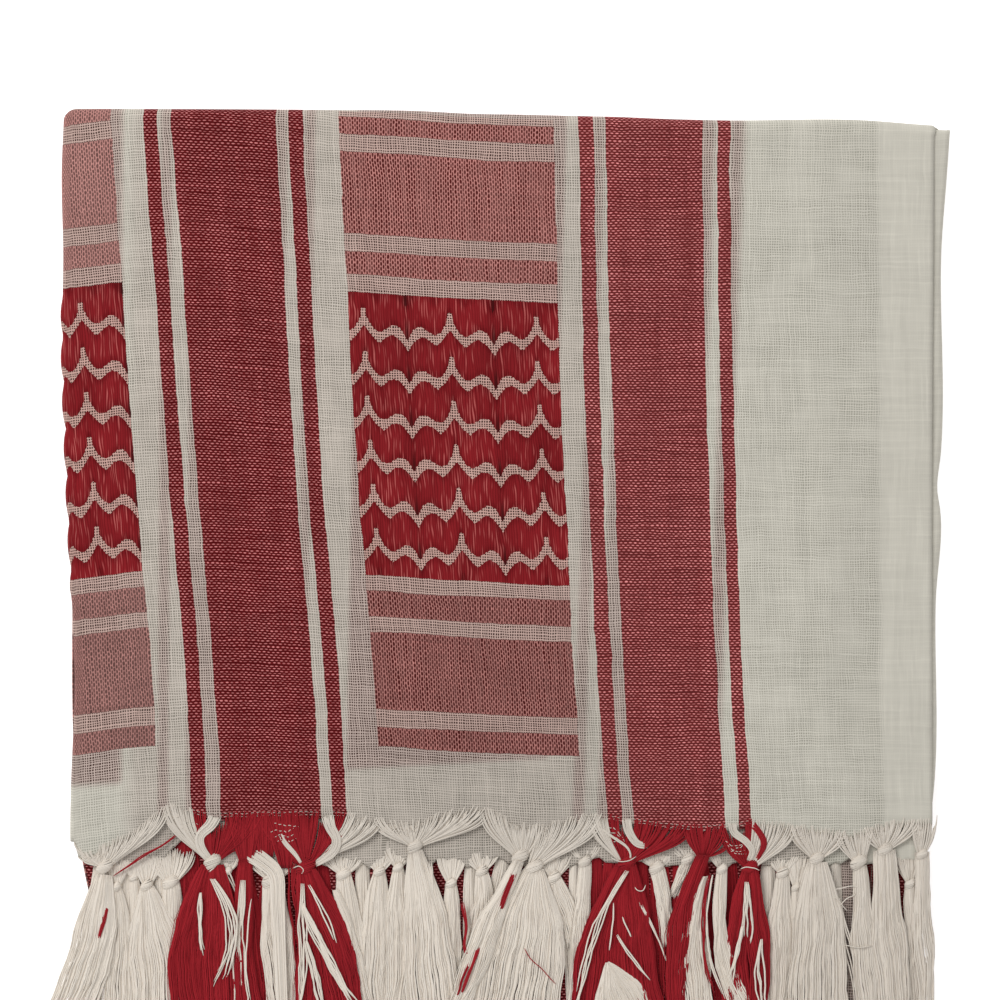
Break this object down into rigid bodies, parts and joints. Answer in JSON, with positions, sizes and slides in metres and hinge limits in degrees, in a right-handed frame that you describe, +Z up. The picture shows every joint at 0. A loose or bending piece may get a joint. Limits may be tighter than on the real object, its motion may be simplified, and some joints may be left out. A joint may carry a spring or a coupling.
{
  "type": "keffiyeh headscarf",
  "caption": "Square cotton keffiyeh headscarf, red and white, folded flat with its knotted tassel fringe across the front flap.",
  "frame": {"origin": "centre of the bundle's bounding box on its underside, where it rests", "axes": "+Z up out of the surface it lies on, +Y up the front flap towards the turned-over top fold, +X towards the selvedge"},
  "size_m": [0.3065, 0.3317, 0.0088],
  "materials": {
    "woven_cloth": "matt cotton gauze, woven red and white",
    "hidden_cloth": "matt cotton gauze",
    "white_yarn": "soft matt cotton yarn",
    "red_yarn": "soft matt cotton yarn"
  },
  "bodies": {
    "root": {"outer_layer": "woven_cloth", "hidden_layers": "hidden_cloth", "front_fringe_left_white": "white_yarn", "front_fringe_left_red": "red_yarn", "front_fringe_middle_white": "white_yarn", "front_fringe_right_red": "red_yarn", "front_fringe_right_white": "white_yarn", "lower_fringe_left_white": "white_yarn", "lower_fringe_left_red": "red_yarn", "lower_fringe_middle_white": "white_yarn", "lower_fringe_right_red": "red_yarn", "lower_fringe_right_white": "white_yarn"}
  },
  "joints": []
}
